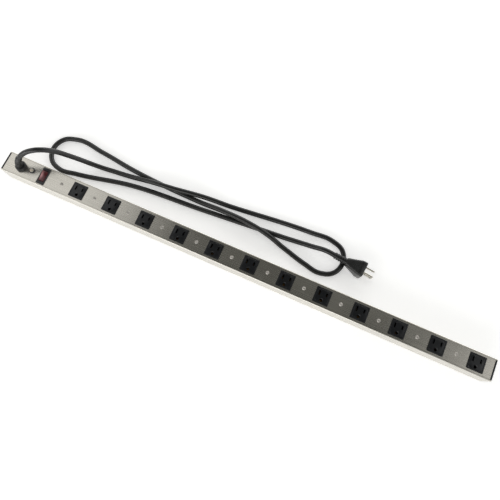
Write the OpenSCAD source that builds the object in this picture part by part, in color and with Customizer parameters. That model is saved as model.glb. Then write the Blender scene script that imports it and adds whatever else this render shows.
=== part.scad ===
// Rack power strip. An extruded channel is closed by a front plate that carries
// twelve snap-in outlets, a lighted rocker switch, a breaker with a reset button and
// a supply cord with a plug. Behind the plate are the bus bars, terminals and wires.
// Lengths are in millimetres. The origin is on the back face, at the strip's middle.
// +X runs along the strip away from the cord, +Z points out of the front plate.

/* [Strip] */
// Length of the strip
strip_len = 914; // [760:1:1200]
// Width across the front
strip_w = 38; // [36:0.5:60]
// Height from the back face to the front plate
strip_h = 38; // [37:0.5:60]

/* [Channel] */
// Thickness of the side walls
wall_t = 2; // [1.5:0.1:2.4]
// Thickness of the back wall
back_t = 1.6; // [1.2:0.1:2.4]
// Width of the rolled lip beside the front plate
lip_w = 2.4; // [2.4:0.1:3]
// Radius of the lip's outer edge
lip_r = 1.8; // [1:0.1:2]
// How far the ledge reaches under the front plate
ledge_w = 1.6; // [1:0.1:2]
// Thickness of the ledge
ledge_t = 1.4; // [1:0.1:2]
// Outer radius of the screw ports in the back corners
port_r = 3.4; // [3.2:0.1:3.5]
// Diameter of the end cap screws
cap_screw_d = 2.9; // [2.5:0.1:3.5]

/* [Front plate and caps] */
// Thickness of the front plate
plate_t = 1.6; // [1.2:0.1:2]
// Thickness of the end caps
cap_t = 3; // [2.5:0.1:5]
// Length of the legs that locate an end cap
cap_leg = 7; // [4:0.5:8]
// Diameter of a rivet's shank
rivet_d = 3.2; // [2.8:0.1:3.6]
// Diameter of a rivet's head
rivet_head_d = 6.4; // [5.6:0.1:7]

/* [Places along the strip] */
// From the cord end to the strain relief
bushing_from_end = 33; // [31:0.5:35]
// From the cord end to the breaker
breaker_from_end = 55; // [54:0.5:57]
// From the cord end to the switch
switch_from_end = 79; // [77:0.5:82]
// From the cord end to the first outlet
first_outlet_from_end = 150; // [146:0.5:180]
// From the last outlet to the far end
last_outlet_from_end = 30.3; // [28:0.1:40]
// From each end to its mounting nut
mount_from_end = 12; // [11:0.5:13]

/* [Outlets] */
// Side of the outlet's flange
outlet_flange = 27.6; // [27:0.1:30]
// Side of the outlet's body behind the plate
outlet_body = 25.6; // [25:0.1:26.4]
// Height of the flange above the plate
flange_h = 1; // [0.6:0.1:2]
// Depth of the outlet's body below the plate
outlet_depth = 20; // [18:0.5:21]
// Distance between the two blade slots
blade_gap = 12.7; // [12.5:0.1:13]
// Distance from the blade row to the earth hole
earth_offset = 11.9; // [11.5:0.1:12]
// Diameter of the earth hole
earth_d = 5.2; // [5:0.1:5.6]
// Width of a blade slot
slot_w = 2.4; // [2:0.1:2.8]

/* [Bus bars] */
// Thickness of the bus bars
bus_t = 0.8; // [0.6:0.1:1]
// Height of the bus bars
bus_h = 5.4; // [4.5:0.1:6]
// Height of the contact leaves
leaf_h = 12; // [9:0.5:13]
// Thickness of the carrier
carrier_t = 3; // [2.5:0.1:3.5]

/* [Switch] */
// Width of the switch bezel along the strip
bezel_x = 15; // [14.4:0.1:16]
// Length of the switch bezel across the strip
bezel_y = 32; // [30:0.5:32.5]
// Height of the bezel above the plate
bezel_h = 1.8; // [1.2:0.1:3]
// Width of the switch body behind the plate
switch_x = 12.8; // [12.4:0.1:13.2]
// Length of the switch body behind the plate
switch_y = 27.4; // [26:0.1:28]
// Width of the rocker
rocker_w = 10.4; // [10:0.1:10.6]
// Radius of the rocker's ends about its pivot
rocker_r = 10.2; // [9.6:0.1:10.4]
// Diameter of the rocker's pivot pins
pivot_d = 2.4; // [2:0.1:2.6]
// Angle that the rocker turns through
rocker_travel = 18; // [14:1:18]
// Angle that the contact lever turns through
lever_travel = 12; // [8:1:12]

/* [Breaker] */
// Diameter of the breaker's threaded neck
neck_d = 9; // [8.6:0.1:9.4]
// Height of the neck above the plate
neck_h = 2.2; // [1.6:0.1:3]
// Diameter of the reset button
button_d = 6.6; // [6:0.1:6.8]
// Height of the button above the plate
button_h = 5; // [5:0.1:7]
// Travel of the reset button
button_travel = 2.5; // [2:0.1:2.6]

/* [Cord] */
// Diameter of the cord
cord_d = 9.2; // [8:0.1:9.2]
// Diameter of the strain relief's thread
bushing_thread_d = 15; // [14:0.1:16]
// Width across the flats of the strain relief
bushing_flats = 18; // [17:0.5:20]
// Height of the strain relief's hex flange
bushing_h = 6; // [5:0.5:7]
// Diameter of the insulated inner wires
wire_d = 3; // [2.4:0.1:3]

/* [Plug] */
// Length of the plug's body
plug_len = 34; // [30:1:38]
// Width of the plug's front face
plug_w = 28; // [27:0.5:29]
// Height of the plug's front face
plug_h = 27; // [26:0.5:27]
// Length of the ribbed strain relief
relief_len = 24; // [20:1:24]
// Length of a blade
blade_len = 17.8; // [16:0.1:19]
// Width of a blade
blade_w = 6.35; // [6:0.05:6.5]
// Thickness of a blade
blade_t = 1.5; // [1.4:0.1:1.6]

/* [Hidden] */
outlet_count = 12;
function two_digits(n) = n < 10 ? str("0", n) : str(n);
function outlet_name(n) = str("outlet_", two_digits(n));

$fn = 48;
eps = 0.01;          // overlap that joins two shapes into one solid
fit = 0.1;           // clearance of a piece in its seat
window_fit = 0.2;    // clearance of a body in the plate's window

// Places worked out from the sizes above
half_len = strip_len / 2;
plate_low = strip_h - plate_t;
plate_half_w = strip_w / 2 - lip_w - fit;
plate_half_len = half_len - cap_t - fit;
port_y = strip_w / 2 - wall_t - port_r + 0.4;
port_z = back_t + port_r - 0.4;
bushing_x = -half_len + bushing_from_end;
breaker_x = -half_len + breaker_from_end;
breaker_y = 1;
switch_x0 = -half_len + switch_from_end;
first_outlet_x = -half_len + first_outlet_from_end;
outlet_pitch = (strip_len - first_outlet_from_end - last_outlet_from_end) / (outlet_count - 1);
function outlet_x(n) = first_outlet_x + (n - 1) * outlet_pitch;
function rivet_x(n) = outlet_x(n) - outlet_pitch / 2;
mount_x = half_len - mount_from_end;

// Outlet: the blade slots and the earth hole, from the outlet's middle
slot_y = 4.6;
earth_y = slot_y - earth_offset;
line_slot_len = 6.6;
neutral_slot_len = 8.2;
outlet_low = plate_low - outlet_depth;
face_wall = 3.6;

// Bus bars: their top edge and the lane of each
bus_top = outlet_low - 1.4;
bus_low = bus_top - bus_h;
neutral_lane = 8;
line_lane = -3.4;
ground_lane = earth_y;
bus_start = rivet_x(1) - 8;
bus_end = outlet_x(outlet_count) + 12;
boss_r = 2.7;
carrier_half_w = 10.4;

// Switch: pivot height, housing and lever
pivot_z = strip_h - 1.5;
switch_depth = 18;
switch_low = plate_low - switch_depth;
switch_floor = switch_low + 1.6;
cavity_x = rocker_w + 0.4;
cavity_y = 2 * rocker_r + 0.8;
rocker_rest = rocker_travel / 2;
lever_rest = -lever_travel / 2;
lever_z = switch_floor + 4.2;
lever_half_len = 8;
plunger_len = pivot_z - lever_z - 0.8;
tab_len = 7;
tab_w = 6;
tab_t = 0.8;
switch_tab_y = 7;

// Breaker: its case below the plate
case_x = 12;
case_y = 28;
case_top = plate_low - 4;
case_depth = 16;
case_low = case_top - case_depth;
shelf_z = case_top - 2.4;
breaker_tab_y = 9;

// Earth stud in the back wall
stud_x = switch_x0 + 17;
stud_d = 4;

// ---------------------------------------------------------------- helpers

// Extrudes an outline drawn as (Y, Z) from one X to another
module along_x(x0, x1) {
    translate([x0, 0, 0]) rotate([90, 0, 90]) linear_extrude(x1 - x0) children();
}

// A block centred on X and Y
module block(size, at) {
    translate([at[0] - size[0] / 2, at[1] - size[1] / 2, at[2]]) cube(size);
}

// A hole or a peg along Z from one height to another
module rod(r, x, y, z0, z1) {
    translate([x, y, z0]) cylinder(r = r, h = z1 - z0);
}

// A slab with its top edges chamfered
module chamfered_slab(x, y, h, chamfer) {
    hull() {
        block([x, y, h - chamfer], [0, 0, 0]);
        block([x - 2 * chamfer, y - 2 * chamfer, h], [0, 0, 0]);
    }
}

function unit(v) = v / norm(v);
function seg(p, i) = norm(p[i + 1] - p[i]);

// Direction of a smooth line at one of its points. It runs level through a point where the
// height stops rising or falling, so the line never dips below its points
function knot_dir(p, i) =
    i == 0 ? unit(p[1] - p[0])
    : i == len(p) - 1 ? unit(p[i] - p[i - 1])
    : let (
        before = p[i] - p[i - 1],
        after = p[i + 1] - p[i],
        mean = before * seg(p, i) / seg(p, i - 1) + after * seg(p, i - 1) / seg(p, i)
    ) unit([mean[0], mean[1], before[2] * after[2] <= 0 ? 0 : mean[2]]);

// Point at a share t of the way from point i to the next, and its direction
pull = 1.04;
function curve_at(p, i, t) =
    (2 * pow(t, 3) - 3 * pow(t, 2) + 1) * p[i]
    + (pow(t, 3) - 2 * pow(t, 2) + t) * seg(p, i) * pull * knot_dir(p, i)
    + (3 * pow(t, 2) - 2 * pow(t, 3)) * p[i + 1]
    + (pow(t, 3) - pow(t, 2)) * seg(p, i) * pull * knot_dir(p, i + 1);
function curve_dir(p, i, t) = unit(curve_at(p, i, t + 0.01) - curve_at(p, i, t - 0.01));

// Stations of a swept line: a point and a direction each, about step apart
function stations(p, step) = concat(
    [for (i = [0:len(p) - 2]) let (n = max(1, round(seg(p, i) / step)))
        for (k = [0:n - 1]) k == 0 ? [p[i], knot_dir(p, i)] : [curve_at(p, i, k / n), curve_dir(p, i, k / n)]],
    [[p[len(p) - 1], knot_dir(p, len(p) - 1)]]
);

// Points of a ring of the given radius around each station, and the walls between rings
sweep_ref = [0.6, -0.5, 0.62];
function ring_points(st, radii, sides) = [for (i = [0:len(st) - 1])
    let (side = unit(cross(st[i][1], sweep_ref)), up = cross(side, st[i][1]))
    for (k = [0:sides - 1]) st[i][0] + radii[i] * (cos(360 * k / sides) * side + sin(360 * k / sides) * up)];
function ring_walls(n, sides, first) = [for (i = [0:n - 2]) for (k = [0:sides - 1])
    let (a = first + i * sides + k, b = first + i * sides + (k + 1) % sides)
    each [[a, a + sides, b], [b, a + sides, b + sides]]];
function turned(faces) = [for (f = faces) [f[2], f[1], f[0]]];

// A round bar through the stations
module sweep(st, radii, sides) {
    n = len(st);
    start = [[for (k = [0:sides - 1]) k]];
    end = [[for (k = [sides - 1:-1:0]) (n - 1) * sides + k]];
    polyhedron(ring_points(st, radii, sides), concat(ring_walls(n, sides, 0), start, end), convexity = 10);
}

// A round tube through the stations, with an outer and an inner radius at each
module sweep_tube(st, outer, inner, sides) {
    n = len(st);
    total = n * sides;
    rims = [for (k = [0:sides - 1]) let (j = (k + 1) % sides, e = (n - 1) * sides)
        each [[k, j, total + k], [j, total + j, total + k],
              [e + k, total + e + k, e + j], [e + j, total + e + k, total + e + j]]];
    polyhedron(concat(ring_points(st, outer, sides), ring_points(st, inner, sides)),
        concat(ring_walls(n, sides, 0), turned(ring_walls(n, sides, total)), rims), convexity = 10);
}

module wire(p, d) {
    st = stations(p, 2.5 * d);
    sweep(st, [for (s = st) d / 2], 8);
}

// ---------------------------------------------------------------- housing

module channel_outline() {
    w = strip_w / 2;
    difference() {
        union() {
            translate([-w, 0]) square([strip_w, strip_h - lip_r]);
            translate([-w + lip_r, 0]) square([strip_w - 2 * lip_r, strip_h]);
            for (s = [-1, 1]) translate([s * (w - lip_r), strip_h - lip_r]) circle(lip_r);
        }
        translate([-w + wall_t, back_t]) square([strip_w - 2 * wall_t, strip_h]);
        translate([-w + lip_w, plate_low]) square([strip_w - 2 * lip_w, strip_h]);
    }
    // the rolled lip is a little thicker than the wall
    for (s = [-1, 1]) translate([s * (w - wall_t / 2 - lip_w / 2) - (lip_w - wall_t) / 2 - eps, plate_low])
        square([lip_w - wall_t + 2 * eps, plate_t - lip_r / 2]);
}

module channel_inner_outline() {
    ledge_in = strip_w / 2 - lip_w - ledge_w;
    ledge_out = strip_w / 2 - wall_t + eps;
    for (s = [0, 1]) mirror([s, 0]) {
        translate([ledge_in, plate_low - ledge_t]) square([ledge_out - ledge_in, ledge_t]);
        difference() {
            translate([port_y, port_z]) circle(port_r);
            translate([port_y, port_z]) circle(cap_screw_d / 2 + 0.05);
            translate([port_y - 2 * port_r, -port_r]) square([4 * port_r, back_t - eps + port_r]);
            translate([strip_w / 2 - wall_t + eps, 0]) square([port_r, 3 * port_r]);
        }
    }
}

module channel() color([0.80, 0.78, 0.75]) {
    difference() {
        union() {
            along_x(-half_len, half_len) channel_outline();
            along_x(-plate_half_len, plate_half_len) channel_inner_outline();
        }
        for (s = [-1, 1]) rod(mount_nut_r + 0.05, s * mount_x, 0, -eps, back_t + eps);
        rod(stud_d / 2 + 0.05, stud_x, 0, -eps, back_t + eps);
        rod(stud_head_r + 0.05, stud_x, 0, -eps, stud_head_t);
    }
}

module front_plate() color([0.76, 0.74, 0.71]) {
    difference() {
        translate([-plate_half_len, -plate_half_w, plate_low])
            cube([2 * plate_half_len, 2 * plate_half_w, plate_t]);
        for (n = [1:outlet_count]) {
            window(outlet_x(n), 0, outlet_body, outlet_body);
            rod(rivet_d / 2 + 0.05, rivet_x(n), 0, plate_low - eps, strip_h + eps);
        }
        window(switch_x0, 0, switch_x, switch_y);
        rod(neck_d / 2 + fit, breaker_x, breaker_y, plate_low - eps, strip_h + eps);
        rod(bushing_thread_d / 2 + fit, bushing_x, 0, plate_low - eps, strip_h + eps);
    }
}

module window(x, y, size_x, size_y) {
    block([size_x + 2 * window_fit, size_y + 2 * window_fit, plate_t + 2 * eps], [x, y, plate_low - eps]);
}

cap_screw_len = 12;
screw_head_r = 2.5;

module end_cap(side) color([0.10, 0.10, 0.11]) {
    inner_w = strip_w - 2 * wall_t - 2 * fit;
    face_x = side * half_len;
    difference() {
        union() {
            along_x(min(face_x, face_x - side * cap_t), max(face_x, face_x - side * cap_t)) {
                translate([-inner_w / 2, back_t + fit]) square([inner_w, plate_low - back_t - 2 * fit]);
                translate([-plate_half_w, back_t + fit]) square([2 * plate_half_w, strip_h - back_t - fit]);
            }
            for (s = [-1, 1]) block([cap_leg + eps, 1.6, strip_h / 2],
                [face_x - side * (cap_t + cap_leg / 2 - eps / 2), s * (inner_w / 2 - 0.8), strip_h / 3]);
        }
        for (s = [-1, 1]) translate([face_x, s * port_y, port_z]) rotate([0, -side * 90, 0]) {
            translate([0, 0, -eps]) cylinder(r = cap_screw_d / 2 + 0.2, h = cap_t + 1);
            translate([0, 0, -eps]) cylinder(r1 = screw_head_r + 0.05, r2 = cap_screw_d / 2 + 0.05, h = 1.6);
        }
    }
}

module end_cap_screws() color([0.75, 0.75, 0.76]) {
    for (side = [-1, 1]) for (s = [-1, 1])
        translate([side * half_len, s * port_y, port_z]) rotate([0, -side * 90, 0]) difference() {
            union() {
                cylinder(r = cap_screw_d / 2, h = cap_screw_len);
                cylinder(r1 = screw_head_r - 0.05, r2 = cap_screw_d / 2 - 0.05, h = 1.5);
            }
            for (a = [0, 90]) rotate(a) block([3.2, 0.7, 0.9], [0, 0, -eps]);
        }
}

module plate_rivets() color([0.78, 0.77, 0.75]) {
    head_h = 1.6;
    dome_r = (pow(rivet_head_d / 2, 2) + pow(head_h, 2)) / (2 * head_h);
    tail_z = bus_low - carrier_t;
    for (n = [1:outlet_count]) translate([rivet_x(n), 0, 0]) {
        intersection() {
            translate([0, 0, strip_h + head_h - dome_r]) sphere(dome_r);
            rod(rivet_head_d, 0, 0, strip_h, strip_h + 2 * head_h);
        }
        rod(rivet_d / 2, 0, 0, tail_z - 1, strip_h + eps);
        rod(rivet_d / 2 + 1, 0, 0, tail_z - 1.2, tail_z);
    }
}

mount_nut_r = 3.5;
mount_thread_d = 4.2;
mount_nut_len = 9;

module mount_nuts() color([0.80, 0.72, 0.48]) {
    for (s = [-1, 1]) difference() {
        union() {
            rod(mount_nut_r, s * mount_x, 0, 0, mount_nut_len);
            rod(mount_nut_r + 1, s * mount_x, 0, back_t, back_t + 2.4);
        }
        rod(mount_thread_d / 2, s * mount_x, 0, -eps, mount_nut_len + eps);
    }
}

// ---------------------------------------------------------------- outlets

module outlet(n) color([0.13, 0.14, 0.17]) {
    face_z = strip_h + flange_h;
    chamber_top = face_z - face_wall;
    earth_top = face_z - 6;
    translate([outlet_x(n), 0, 0]) difference() {
        union() {
            translate([0, 0, strip_h]) chamfered_slab(outlet_flange, outlet_flange, flange_h, 0.4);
            block([outlet_body, outlet_body, outlet_depth + plate_t + eps], [0, 0, outlet_low]);
            // snap ears that catch under the plate
            for (s = [0, 1]) mirror([0, s, 0]) translate([-4, outlet_body / 2 - eps, 0]) rotate([90, 0, 90])
                linear_extrude(8) polygon([[0, plate_low - 4], [0.9, plate_low - fit], [0, plate_low - fit]]);
        }
        block([slot_w, neutral_slot_len, face_z], [-blade_gap / 2, slot_y, chamber_top - 1]);
        block([slot_w, line_slot_len, face_z], [blade_gap / 2, slot_y, chamber_top - 1]);
        rod(earth_d / 2, 0, earth_y, earth_top - 1, face_z + 1);
        for (s = [-1, 1]) block([5.6, 9, chamber_top - outlet_low + eps],
            [s * blade_gap / 2, slot_y, outlet_low - eps]);
        block([8, 8, earth_top - outlet_low + eps], [0, earth_y, outlet_low - eps]);
    }
}

// ---------------------------------------------------------------- bus bars

module bus_strip(lane) {
    translate([bus_start, lane - bus_t / 2, bus_low]) cube([bus_end - bus_start, bus_t, bus_h]);
}

// A foot from the strip to a blade slot, with two leaves that grip the blade
module blade_contact(x, lane) {
    leaf_len = 5.4;
    leaf_lo = slot_y - leaf_len / 2 - 0.1;
    leaf_hi = slot_y + leaf_len / 2 - 0.1;
    foot_lo = min(lane, leaf_lo);
    foot_hi = max(lane, leaf_hi);
    translate([x - 2.2, foot_lo, bus_top - bus_t]) cube([4.4, foot_hi - foot_lo, bus_t]);
    for (s = [-1, 1]) translate([x + s * 1.3 - 0.3, leaf_lo, bus_top - eps]) cube([0.6, leaf_len, leaf_h]);
}

module line_bus() color([0.80, 0.62, 0.30]) {
    bus_strip(line_lane);
    for (n = [1:outlet_count]) blade_contact(outlet_x(n) + blade_gap / 2, line_lane);
}

module neutral_bus() color([0.82, 0.65, 0.33]) {
    bus_strip(neutral_lane);
    for (n = [1:outlet_count]) blade_contact(outlet_x(n) - blade_gap / 2, neutral_lane);
}

module ground_bus() color([0.78, 0.60, 0.30]) {
    difference() {
        union() {
            bus_strip(ground_lane);
            for (n = [1:outlet_count]) {
                block([6.4, 6.4, bus_t], [outlet_x(n), earth_y + 0.1, bus_top - bus_t]);
                rod(3.15, outlet_x(n), earth_y, bus_top - eps, bus_top + leaf_h);
            }
        }
        for (n = [1:outlet_count]) rod(earth_d / 2 + 0.1, outlet_x(n), earth_y, bus_top + 1, bus_top + leaf_h + 1);
    }
}

module bus_carrier() color([0.22, 0.22, 0.23]) {
    rib_w = 1.2;
    difference() {
        union() {
            translate([bus_start, -carrier_half_w, bus_low - carrier_t])
                cube([bus_end - bus_start, 2 * carrier_half_w, carrier_t]);
            for (y = [-carrier_half_w, -5.8, 3.4, carrier_half_w - rib_w]) translate([bus_start, y, bus_low - eps])
                cube([bus_end - bus_start, rib_w, bus_h - 1.6]);
            for (n = [1:outlet_count]) rod(boss_r, rivet_x(n), 0, bus_low - eps, plate_low);
        }
        for (n = [1:outlet_count]) rod(rivet_d / 2 + 0.05, rivet_x(n), 0, 0, plate_low + eps);
    }
}

// ---------------------------------------------------------------- switch

module at_switch() {
    translate([switch_x0, 0, 0]) children();
}

module switch_housing() color([0.09, 0.09, 0.10]) {
    at_switch() difference() {
        union() {
            translate([0, 0, strip_h]) chamfered_slab(bezel_x, bezel_y, bezel_h, 0.6);
            block([switch_x, switch_y, switch_depth + plate_t + eps], [0, 0, switch_low]);
        }
        block([cavity_x, cavity_y, strip_h], [0, 0, switch_floor]);
        translate([0, 0, pivot_z]) rotate([0, 90, 0])
            cylinder(d = pivot_d + 0.1, h = cavity_x + 1.7, center = true);
        for (y = [-switch_tab_y, 0, switch_tab_y]) block([tab_w + 2 * fit, tab_t + 2 * fit, 4], [0, y, switch_low - 1]);
    }
}

rocker_low = 3.2;      // depth of the rocker below its pivot
dish_r = 35;           // radius of the rocker's hollow top
dish_z = 3.4;          // height of the hollow's middle above the pivot
rocker_wall = 1.2;

module rocker() color([0.72, 0.20, 0.22]) {
    at_switch() translate([0, 0, pivot_z]) rotate([rocker_rest, 0, 0]) difference() {
        union() {
            difference() {
                along_x(-rocker_w / 2, rocker_w / 2) difference() {
                    intersection() {
                        circle(rocker_r);
                        translate([-rocker_r, -rocker_low]) square([2 * rocker_r, 2 * rocker_r]);
                    }
                    translate([0, dish_z + dish_r]) circle(dish_r, $fn = 96);
                }
                block([rocker_w - 2 * rocker_wall, 1.5 * rocker_r, rocker_low + dish_z - rocker_wall],
                    [0, 0, -rocker_low - eps]);
            }
            rod(2.3, 0, 0, -rocker_low, dish_z - rocker_wall + eps);
            rotate([0, 90, 0]) cylinder(d = pivot_d, h = cavity_x + 1.5, center = true);
        }
        rod(1.35, 0, 0, -rocker_low - 1, 1.2);
    }
}

module rocker_plunger() color([0.80, 0.80, 0.80]) {
    at_switch() translate([0, 0, pivot_z]) rotate([rocker_rest, 0, 0]) {
        rod(1.3, 0, 0, -plunger_len + 1.3, 1);
        translate([0, 0, -plunger_len + 1.3]) sphere(1.3);
    }
}

module contact_lever() color([0.80, 0.55, 0.35]) {
    at_switch() translate([0, 0, lever_z]) rotate([lever_rest, 0, 0]) {
        block([4, 2 * lever_half_len, 0.8], [0, 0, -0.4]);
        rod(1.4, 0, switch_tab_y - 0.6, -0.6, 0);
    }
}

module switch_terminals() color([0.82, 0.80, 0.76]) {
    rest_drop = (switch_tab_y - 0.6) * sin(-lever_rest);
    at_switch() {
        block([tab_w, tab_t, lever_z - 0.7 - switch_low + tab_len], [0, 0, switch_low - tab_len]);
        block([tab_w, tab_t, tab_len + 3], [0, switch_tab_y, switch_low - tab_len]);
        rod(1.4, 0, switch_tab_y, switch_low + 3 - eps, lever_z - 0.9 - rest_drop - 0.2);
        block([tab_w, tab_t, tab_len + 2], [0, -switch_tab_y, switch_low - tab_len]);
    }
}

module switch_lamp() color([0.95, 0.55, 0.35]) {
    lamp_y = -5;
    lamp_z = pivot_z - 2.2;
    at_switch() {
        translate([0, lamp_y, lamp_z]) rotate([0, 90, 0]) cylinder(r = 1.2, h = 6.4, center = true);
        for (s = [-1, 1]) rod(0.35, s * 3.5, lamp_y, switch_floor, lamp_z);
        for (s = [-1, 1]) translate([s * 3.2, lamp_y, lamp_z]) rotate([0, 90, 0])
            cylinder(r = 0.35, h = 1.2, center = true);
    }
}

// ---------------------------------------------------------------- breaker

module at_breaker() {
    translate([breaker_x, breaker_y, 0]) children();
}

module breaker_case() color([0.10, 0.10, 0.10]) {
    at_breaker() difference() {
        union() {
            block([case_x - 1, case_y, case_depth], [-0.5, 0, case_low]);
            rod(neck_d / 2, 0, 0, case_top - eps, strip_h + neck_h);
        }
        translate([-case_x / 2 + 1.2, -case_y / 2 + 1.2, case_low + 1.6])
            cube([case_x, case_y - 2.4, shelf_z - 2 - case_low - 1.6]);
        rod(button_d / 2 + 0.1, 0, 0, shelf_z, strip_h + neck_h + eps);
        rod(1.5, 0, 0, case_low + 2, shelf_z + eps);
        for (s = [-1, 1]) block([tab_w + 2 * fit, tab_t + 2 * fit, 4], [-0.5, s * breaker_tab_y, case_low - 1]);
    }
}

module breaker_cover() color([0.16, 0.15, 0.14]) {
    at_breaker() translate([case_x / 2 - 1, -case_y / 2, case_low]) cube([1, case_y, case_depth]);
}

module breaker_nuts() color([0.28, 0.28, 0.29]) {
    at_breaker() difference() {
        union() {
            rod(neck_d / 2 + 1, 0, 0, strip_h, strip_h + 1.2);
            translate([0, 0, plate_low - 2.2]) rotate(30) cylinder(r = 7, h = 2.2, $fn = 6);
        }
        rod(neck_d / 2 + 0.05, 0, 0, 0, 2 * strip_h);
    }
}

button_low = strip_h - 1;
stem_low = case_low + 8.6;   // the stem stops above the bimetal strip

module breaker_button() color([0.85, 0.83, 0.78]) {
    dome_h = 1.6;
    dome_r = (pow(button_d / 2, 2) + pow(dome_h, 2)) / (2 * dome_h);
    at_breaker() {
        rod(button_d / 2, 0, 0, button_low, strip_h + button_h - dome_h);
        intersection() {
            translate([0, 0, strip_h + button_h - dome_r]) sphere(dome_r);
            rod(button_d / 2, 0, 0, strip_h + button_h - dome_h - eps, strip_h + button_h + 1);
        }
        rod(1.4, 0, 0, stem_low, button_low + eps);
    }
}

// The return spring sits under the button's head and travels with it
module breaker_spring() color([0.70, 0.71, 0.72]) {
    turns = 3;
    coil_r = 2.3;
    wire_r = 0.3;
    spring_low = shelf_z + button_travel + wire_r + 0.3;
    spring_high = button_low - wire_r;
    steps = 14 * turns;
    st = [for (i = [0:steps]) let (a = 360 * turns * i / steps)
        [[coil_r * cos(a), coil_r * sin(a), spring_low + (spring_high - spring_low) * i / steps],
         unit([-sin(a), cos(a), 0.05])]];
    at_breaker() sweep(st, [for (s = st) wire_r], 6);
}

module breaker_bimetal() color([0.74, 0.66, 0.52]) {
    at_breaker() block([4.4, 2 * breaker_tab_y + 2, 0.5], [-0.5, 0, case_low + 5]);
}

module breaker_terminals() color([0.82, 0.80, 0.76]) {
    at_breaker() for (s = [-1, 1])
        block([tab_w, tab_t, tab_len + 5], [-0.5, s * breaker_tab_y, case_low - tab_len]);
}

// ---------------------------------------------------------------- strain relief and earth stud

bushing_bore_r = cord_d / 2 + fit;
bushing_low = plate_low - 12;

module cord_bushing() color([0.07, 0.07, 0.08]) {
    translate([bushing_x, 0, 0]) difference() {
        union() {
            translate([0, 0, strip_h]) rotate(30) cylinder(d = bushing_flats / cos(30), h = bushing_h, $fn = 6);
            rod(bushing_thread_d / 2, 0, 0, bushing_low, strip_h + eps);
        }
        rod(bushing_bore_r, 0, 0, bushing_low - eps, strip_h + bushing_h + 1);
    }
}

module bushing_locknut() color([0.12, 0.12, 0.13]) {
    translate([bushing_x, 0, plate_low - 4.6]) difference() {
        rotate(30) cylinder(d = (bushing_thread_d + 5) / cos(30), h = 4.5, $fn = 6);
        translate([0, 0, -eps]) cylinder(d = bushing_thread_d + 0.1, h = 5);
    }
}

stud_head_r = 3.6;
stud_head_t = 0.9;
lug_t = 0.8;

module ground_stud() color([0.75, 0.75, 0.74]) {
    translate([stud_x, 0, 0]) {
        rod(stud_d / 2, 0, 0, 0, 9);
        rod(stud_head_r, 0, 0, 0, stud_head_t - 0.05);
        difference() {
            translate([0, 0, back_t + 2 * (lug_t + lug_gap)]) cylinder(d = 7 / cos(30), h = 3.2, $fn = 6);
            rod(stud_d / 2 - eps, 0, 0, 0, 12);
        }
    }
}

// Two ring lugs on the stud, one for the cord's earth wire and one for the bus bar
cord_lug_reach = 9;
bus_lug_reach = 7.6;
bus_lug_turn = -60;
lug_barrel_h = 2.6;
lug_gap = 0.05;
module ground_lug(z, turn, reach) {
    translate([stud_x, 0, z]) rotate(turn) difference() {
        union() {
            cylinder(r = 4, h = lug_t);
            translate([0, -1.5, 0]) cube([reach, 3, lug_t]);
            translate([reach - 3, -1.5, 0]) cube([3, 3, lug_barrel_h]);
        }
        translate([0, 0, -eps]) cylinder(r = stud_d / 2 + 0.05, h = 4);
    }
}

module ground_lugs() color([0.82, 0.76, 0.60]) {
    ground_lug(back_t, 180, cord_lug_reach);
    ground_lug(back_t + lug_t + lug_gap, bus_lug_turn, bus_lug_reach);
}

// ---------------------------------------------------------------- wires

sleeve = [7, 2.6, 6.4];
sleeve_rise = 0.4;     // from the end of a tab to the bottom of its sleeve
switch_wire_z = switch_low - tab_len + sleeve_rise + sleeve[2] / 2;
breaker_wire_z = case_low - tab_len + sleeve_rise + sleeve[2] / 2;

module tab_sleeve(x, y, z) {
    difference() {
        block(sleeve, [x, y, z + sleeve_rise]);
        block([tab_w + 2 * fit, tab_t + 2 * fit, 2 * sleeve[2]], [x, y, z - 1]);
    }
}

module terminal_sleeves() color([0.70, 0.25, 0.22]) {
    for (y = [-switch_tab_y, 0, switch_tab_y]) tab_sleeve(switch_x0, y, switch_low - tab_len);
    for (s = [-1, 1]) tab_sleeve(breaker_x - 0.5, breaker_y + s * breaker_tab_y, case_low - tab_len);
}

// Each wire stops a hair short of what it is crimped into
wire_gap = 0.1;
cord_start_z = plate_low - 10;
wire_start_z = cord_start_z - 0.4;
switch_side = sleeve[0] / 2 + wire_gap;
breaker_near = breaker_x - 0.5 - sleeve[0] / 2 - wire_gap;
breaker_far = breaker_x - 0.5 + sleeve[0] / 2 + wire_gap;
bus_wire_x = bus_start - wire_gap;
bus_wire_z = bus_low + 2.6;
low_z = back_t + wire_d;

module wire_line_in() color([0.08, 0.08, 0.08]) wire([
    [bushing_x + 1.8, -1.2, wire_start_z],
    [bushing_x + 1.8, -1.2, wire_start_z - 4],
    [bushing_x + 5, -5, breaker_wire_z + 3],
    [breaker_near - 4, breaker_y - breaker_tab_y, breaker_wire_z],
    [breaker_near, breaker_y - breaker_tab_y, breaker_wire_z]
], wire_d);

module wire_line_link() color([0.08, 0.08, 0.08]) wire([
    [breaker_far, breaker_y + breaker_tab_y, breaker_wire_z],
    [breaker_far + 4, breaker_y + breaker_tab_y, breaker_wire_z],
    [switch_x0 - switch_side - 4, 0, switch_wire_z],
    [switch_x0 - switch_side, 0, switch_wire_z]
], wire_d);

module wire_line_bus() color([0.08, 0.08, 0.08]) wire([
    [switch_x0 + switch_side, switch_tab_y, switch_wire_z],
    [switch_x0 + switch_side + 4, switch_tab_y, switch_wire_z],
    [bus_wire_x - 4, line_lane, bus_wire_z],
    [bus_wire_x, line_lane, bus_wire_z]
], wire_d);

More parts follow.
